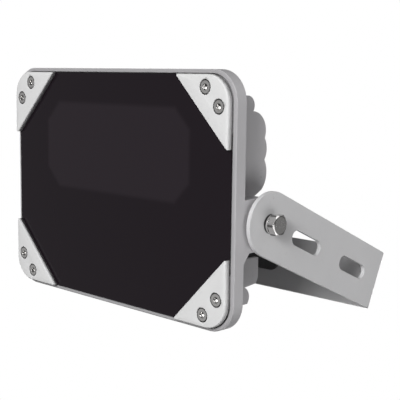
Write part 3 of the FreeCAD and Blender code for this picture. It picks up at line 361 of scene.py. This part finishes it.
def dark_window():
    """Deep black filter pane; the lamp field shows through it as a slightly lighter octagon."""
    s = Shader("dark_window")
    x, y, z = s.head_place((0, FIELD_MIDDLE, 0))
    across, up = s.math("ABSOLUTE", x), s.math("ABSOLUTE", y)
    side = s.math("SUBTRACT", across, FIELD_HALF[0] * MM)
    end = s.math("SUBTRACT", up, FIELD_HALF[1] * MM)
    cut = s.times(s.math("SUBTRACT", s.math("ADD", across, up), FIELD_CUT * MM), math.sqrt(0.5))
    outside = s.math("MAXIMUM", s.math("MAXIMUM", side, end), cut)
    field = s.ramp_mm(outside, *FIELD_EDGE, 1.0, 0.0, smooth=True)
    s.set(Base_Color=s.mix(field, (0.0125, 0.0086, 0.0120, 1), (0.0217, 0.0163, 0.0210, 1)),
          Roughness=s.ramp(s.noise(700, 3, 0.65), 0.35, 0.75, 0.10, 0.17),
          Normal=s.bump(s.noise(45, 1), 0.02, 0.2 * MM), IOR=1.49, Specular_IOR_Level=0.18)
    return s.material


def clear_plastic():
    """Clear moulding of the lens plate, slightly uneven."""
    s = Shader("clear_moulding")
    s.set(Base_Color=s.mix(s.noise(60), (0.86, 0.87, 0.88, 1), (0.92, 0.92, 0.92, 1)),
          Roughness=s.ramp(s.noise(500), 0.3, 0.7, 0.05, 0.12),
          Transmission_Weight=0.85, IOR=1.49)
    return s.material


PAINT = painted("painted_casting", 0.54, 0.46, 0.35, casting_painted_shade, tint=(1.0, 0.982, 1.008))
BRACKET_PAINT = painted("painted_bracket", 0.66, 0.40, 0.18, bracket_painted_shade,
                        tint=(1.0, 0.995, 1.008))
CLAMP_PAINT = painted("painted_clamp", 0.79, 0.36, 0.14, clamp_painted_shade, wear=0.2)
SCREW_STEEL = steel("screw_steel", 0.88, 0.24, screw_painted_shade)
BOLT_STEEL = steel("bolt_steel", 0.68, 0.20, bolt_painted_shade)
WASHER_STEEL = steel("washer_steel", 0.78, 0.22, washer_painted_shade)
ZINC = steel("zinc_steel", 0.55, 0.30)
CAN = steel("aluminium_can", 0.75, 0.30)
RUBBER = moulded("black_rubber", (0.020, 0.020, 0.021), 0.62, 0.25)
BLACK = moulded("black_plastic", (0.030, 0.030, 0.032), 0.42, 0.20)
GREEN = moulded("green_plastic", (0.07, 0.28, 0.12), 0.45, 0.10)
BOARD = moulded("circuit_board", (0.03, 0.14, 0.06), 0.35, 0.15, scale=600)
PAD = moulded("thermal_pad", (0.42, 0.48, 0.54), 0.70, 0.20)
EMITTER = moulded("emitter", (0.75, 0.72, 0.62), 0.20, 0.05)
WASHER = moulded("white_plastic", (0.62, 0.62, 0.60), 0.45, 0.10)
CABLE = moulded("flat_cable", (0.62, 0.58, 0.48), 0.35, 0.10)

LOOKS = {
    "bracket": BRACKET_PAINT, "housing": PAINT, "window": dark_window(),
    "window_gasket": RUBBER, "clamp_screws": SCREW_STEEL, "lens_plate": clear_plastic(),
    "led_board": BOARD, "thermal_pad": PAD, "led_emitters": EMITTER, "led_board_screws": ZINC,
    "driver_screws": ZINC, "driver_board": BOARD, "driver_coil": BLACK,
    "driver_capacitors": CAN, "driver_controller": BLACK, "daylight_sensor": BLACK,
    "terminal_block": GREEN, "board_link": CABLE, "gland_ring": RUBBER, "gland_body": BLACK,
    "gland_locknut": BLACK, "gland_seal": RUBBER, "gland_nut": BLACK, "vent_plug": BLACK,
    "pivot_bolts": BOLT_STEEL, "spring_washers": WASHER_STEEL, "friction_washers": WASHER,
    "base_plug": RUBBER,
}
for corner in ("top_left", "top_right", "bottom_left", "bottom_right"):
    LOOKS[f"corner_clamp_{corner}"] = CLAMP_PAINT

# How wide the bevel is on the edges of a node, in millimetres.
SOFT_EDGES = {
    "housing": 0.45, "bracket": 0.3, "clamp_screws": 0.15, "pivot_bolts": 0.2,
    "spring_washers": 0.1, "gland_nut": 0.3, "gland_body": 0.3, "vent_plug": 0.4, "window": 0.2,
}
WELD_GAP = 0.002 * MM                  # points closer than this are one
FLAT_ANGLE = math.radians(0.3)         # triangles within this are one flat face
EDGE_ANGLE = math.radians(28)          # edges sharper than this get a bevel


def dress(name, material):
    """Give a CAD node its material, and soften the edges that show."""
    item = nodes[name]
    item.data.materials.clear()
    item.data.materials.append(material)
    item.data.shade_smooth()
    weld = item.modifiers.new("weld", "WELD")
    weld.merge_threshold = WELD_GAP
    if name in SOFT_EDGES:
        flats = item.modifiers.new("flats", "DECIMATE")
        flats.decimate_type = "DISSOLVE"
        flats.angle_limit = FLAT_ANGLE
        soft = item.modifiers.new("soft", "BEVEL")
        soft.width = SOFT_EDGES[name] * MM
        soft.segments = 2
        soft.limit_method = "ANGLE"
        soft.angle_limit = EDGE_ANGLE
        soft.loop_slide = False
    weighted = item.modifiers.new("weighted", "WEIGHTED_NORMAL")
    weighted.keep_sharp = True
    weighted.weight = 80


for name in nodes:
    dress(name, LOOKS[name])

# The studio: a pale floor well below the lamp, white beyond it, and soft lamps.

FLOOR_HALF = 6.0
FLOOR_HEIGHT = -1.2
FLOOR_GLOW = 0.95                      # as the camera sees it
FLOOR_MIRRORED_GLOW = 0.3              # as it shows in reflections
WORLD_LIGHT = 0.01                     # what the world adds to the lamps
LAMP_AIM = Vector((0.02, -0.09, 0))    # a point near the middle of the object

scene = bpy.context.scene
scene.view_settings.view_transform = "Standard"


def make_world():
    """White where the camera looks, nearly dark as a light, soft grey in reflections."""
    world = bpy.data.worlds.new("studio")
    scene.world = world
    world.use_nodes = True
    w = Nodes(world.node_tree)
    ray = w.add("ShaderNodeLightPath").outputs
    seen = w.math("MAXIMUM", ray["Is Camera Ray"], ray["Is Transmission Ray"])
    x, y, z = w.split(w.add("ShaderNodeTexCoord").outputs["Generated"])
    brighter_above = w.ramp(z, -0.5, 0.7, 0.176, 0.272, smooth=True)
    dark_behind = w.ramp(y, 0.74, 0.95, 1.0, 0.1, smooth=True)
    mirrored = w.background(w.times(brighter_above, dark_behind))
    unseen = w.choose(ray["Is Glossy Ray"], w.background(WORLD_LIGHT), mirrored)
    output = w.add("ShaderNodeOutputWorld")
    w.link(w.choose(seen, unseen, w.background(1.0)), output.inputs["Surface"])


def make_floor():
    """A pale floor that keeps a faint shadow and otherwise blends into the white."""
    mesh = bpy.data.meshes.new("floor")
    shape = bmesh.new()
    bmesh.ops.create_grid(shape, x_segments=8, y_segments=8, size=FLOOR_HALF)
    shape.to_mesh(mesh)
    shape.free()
    floor = bpy.data.objects.new("floor", mesh)
    scene.collection.objects.link(floor)
    floor.location = (0, 0, FLOOR_HEIGHT)
    s = Shader("floor")
    s.set(Base_Color=s.mix(s.noise(3), grey(0.19), grey(0.21)), Roughness=0.9)
    glow = s.add("ShaderNodeEmission")
    glow.inputs["Color"].default_value = WHITE
    ray = s.add("ShaderNodeLightPath").outputs
    mirrored = s.times(ray["Is Glossy Ray"], FLOOR_MIRRORED_GLOW)
    s.link(s.math("MULTIPLY_ADD", ray["Is Camera Ray"], FLOOR_GLOW, mirrored),
           glow.inputs["Strength"])
    both = s.add("ShaderNodeAddShader")
    s.link(s.principled.outputs[0], both.inputs[0])
    s.link(glow.outputs[0], both.inputs[1])
    s.link(both.outputs[0], s.output.inputs["Surface"])
    floor.data.materials.append(s.material)


def lamp(name, direction, distance, width, power, spread=180):
    """A soft square lamp, its distance and width in metres, its power in watts."""
    data = bpy.data.lights.new(name, "AREA")
    data.size = width
    data.spread = math.radians(spread)
    data.energy = power
    item = bpy.data.objects.new(name, data)
    scene.collection.objects.link(item)
    way = Vector(direction).normalized()
    item.location = LAMP_AIM + way * distance
    item.rotation_mode = "QUATERNION"
    item.rotation_quaternion = (-way).to_track_quat("-Z", "Y")


make_world()
make_floor()
lamp("key", (0.30, -1, 0), 1.8, 0.65, 27.3)
lamp("key_side", (0.55, -1, 0), 1.8, 0.65, 4.2)
lamp("side_high", (1, 0.1, 0.8), 1.4, 0.8, 2.5)
lamp("side_low", (1, 0.2, -0.45), 1.2, 0.8, 2.8)
lamp("side_end", (1, 0.75, -0.4), 0.9, 0.45, 1.1)
lamp("back", (-0.35, 1, 0.12), 1.5, 0.9, 2.2, spread=70)
lamp("left", (-1, 0.1, 0.3), 1.5, 1.0, 2.6)

# The camera of the photograph, fitted to the outline and the corners of the window.
SENSOR_WIDTH = 36
FOCAL_SHARE = 925.04 / 400  # focal length as a share of the picture's width
CAMERA_PLACE = Vector((0.38713, -0.45032, -0.07619))
RIGHT = Vector((0.70865, 0.63751, 0.30231))
DOWN = Vector((0.10351, 0.32990, -0.93832))
AHEAD = Vector((-0.69792, 0.69624, 0.16780))

camera_data = bpy.data.cameras.new("camera")
camera_data.sensor_width = SENSOR_WIDTH
camera_data.lens = FOCAL_SHARE * SENSOR_WIDTH
camera_data.clip_start = 0.05
camera_data.clip_end = 50
camera = bpy.data.objects.new("camera", camera_data)
scene.collection.objects.link(camera)
scene.camera = camera
turn = Matrix((RIGHT, -DOWN, -AHEAD)).transposed()
camera.matrix_world = Matrix.Translation(CAMERA_PLACE) @ turn.to_4x4()
